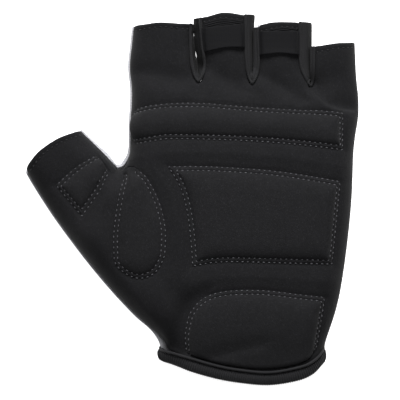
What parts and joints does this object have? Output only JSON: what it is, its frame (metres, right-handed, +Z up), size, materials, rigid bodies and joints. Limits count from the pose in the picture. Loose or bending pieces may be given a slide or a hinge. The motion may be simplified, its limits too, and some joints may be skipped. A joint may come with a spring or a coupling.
{
  "type": "half-finger cycling glove",
  "caption": "Left half-finger glove lying palm up, with quilted palm pads, open finger and thumb stubs, pull tabs across the fingers and an elastic cuff.",
  "frame": {"origin": "middle of the base of the glove's box, on the surface that it lies on", "axes": "+X from the thumb to the little finger, +Y from the cuff to the fingers, +Z up out of the palm"},
  "size_m": [0.1526, 0.169, 0.0276],
  "materials": {
    "palm_suede": "matte synthetic suede",
    "pad_suede": "matte synthetic suede over padding",
    "back_knit": "matte stretch knit",
    "fourchette_knit": "matte stretch knit",
    "tab_webbing": "matte woven tape",
    "cuff_elastic": "matte ribbed elastic"
  },
  "bodies": {
    "root": {"palm_panel": "palm_suede", "back_panel": "back_knit", "knuckle_pad": "pad_suede", "palm_pad": "pad_suede", "heel_pad": "pad_suede", "thenar_pad": "pad_suede", "thumb_pad": "pad_suede", "fourchette_index_middle": "fourchette_knit", "fourchette_middle_ring": "fourchette_knit", "fourchette_ring_little": "fourchette_knit", "middle_pull_tab": "tab_webbing", "ring_pull_tab": "tab_webbing", "cuff_piping": "cuff_elastic", "cuff_band": "cuff_elastic"}
  },
  "joints": []
}
